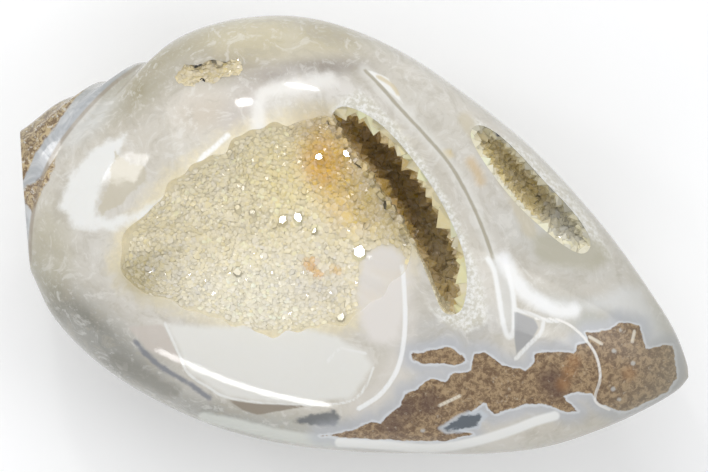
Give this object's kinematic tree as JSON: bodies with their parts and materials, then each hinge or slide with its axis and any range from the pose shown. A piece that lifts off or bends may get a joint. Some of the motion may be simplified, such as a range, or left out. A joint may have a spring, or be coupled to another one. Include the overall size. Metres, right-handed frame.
{
  "type": "chalcedony gastropod fossil",
  "caption": "Loose fossil snail replaced by polished chalcedony, opened on one face to show hollows lined with quartz crystals; lies at rest as a display specimen",
  "frame": {"origin": "centre of the underside of the bounding box, on the surface that the fossil lies on", "axes": "+X along the coiling axis from the spire to the anterior tip, +Y across the width towards the outer hollow, +Z out of the opened and polished face"},
  "size_m": [0.0718, 0.0424, 0.0282],
  "materials": {
    "chalcedony": "polished, translucent milky white with brown sediment",
    "druse": "glassy quartz points, clear to honey yellow"
  },
  "bodies": {
    "root": {"chalcedony_shell": "chalcedony", "main_hollow_crystals": "druse", "outer_hollow_crystals": "druse"}
  },
  "joints": []
}
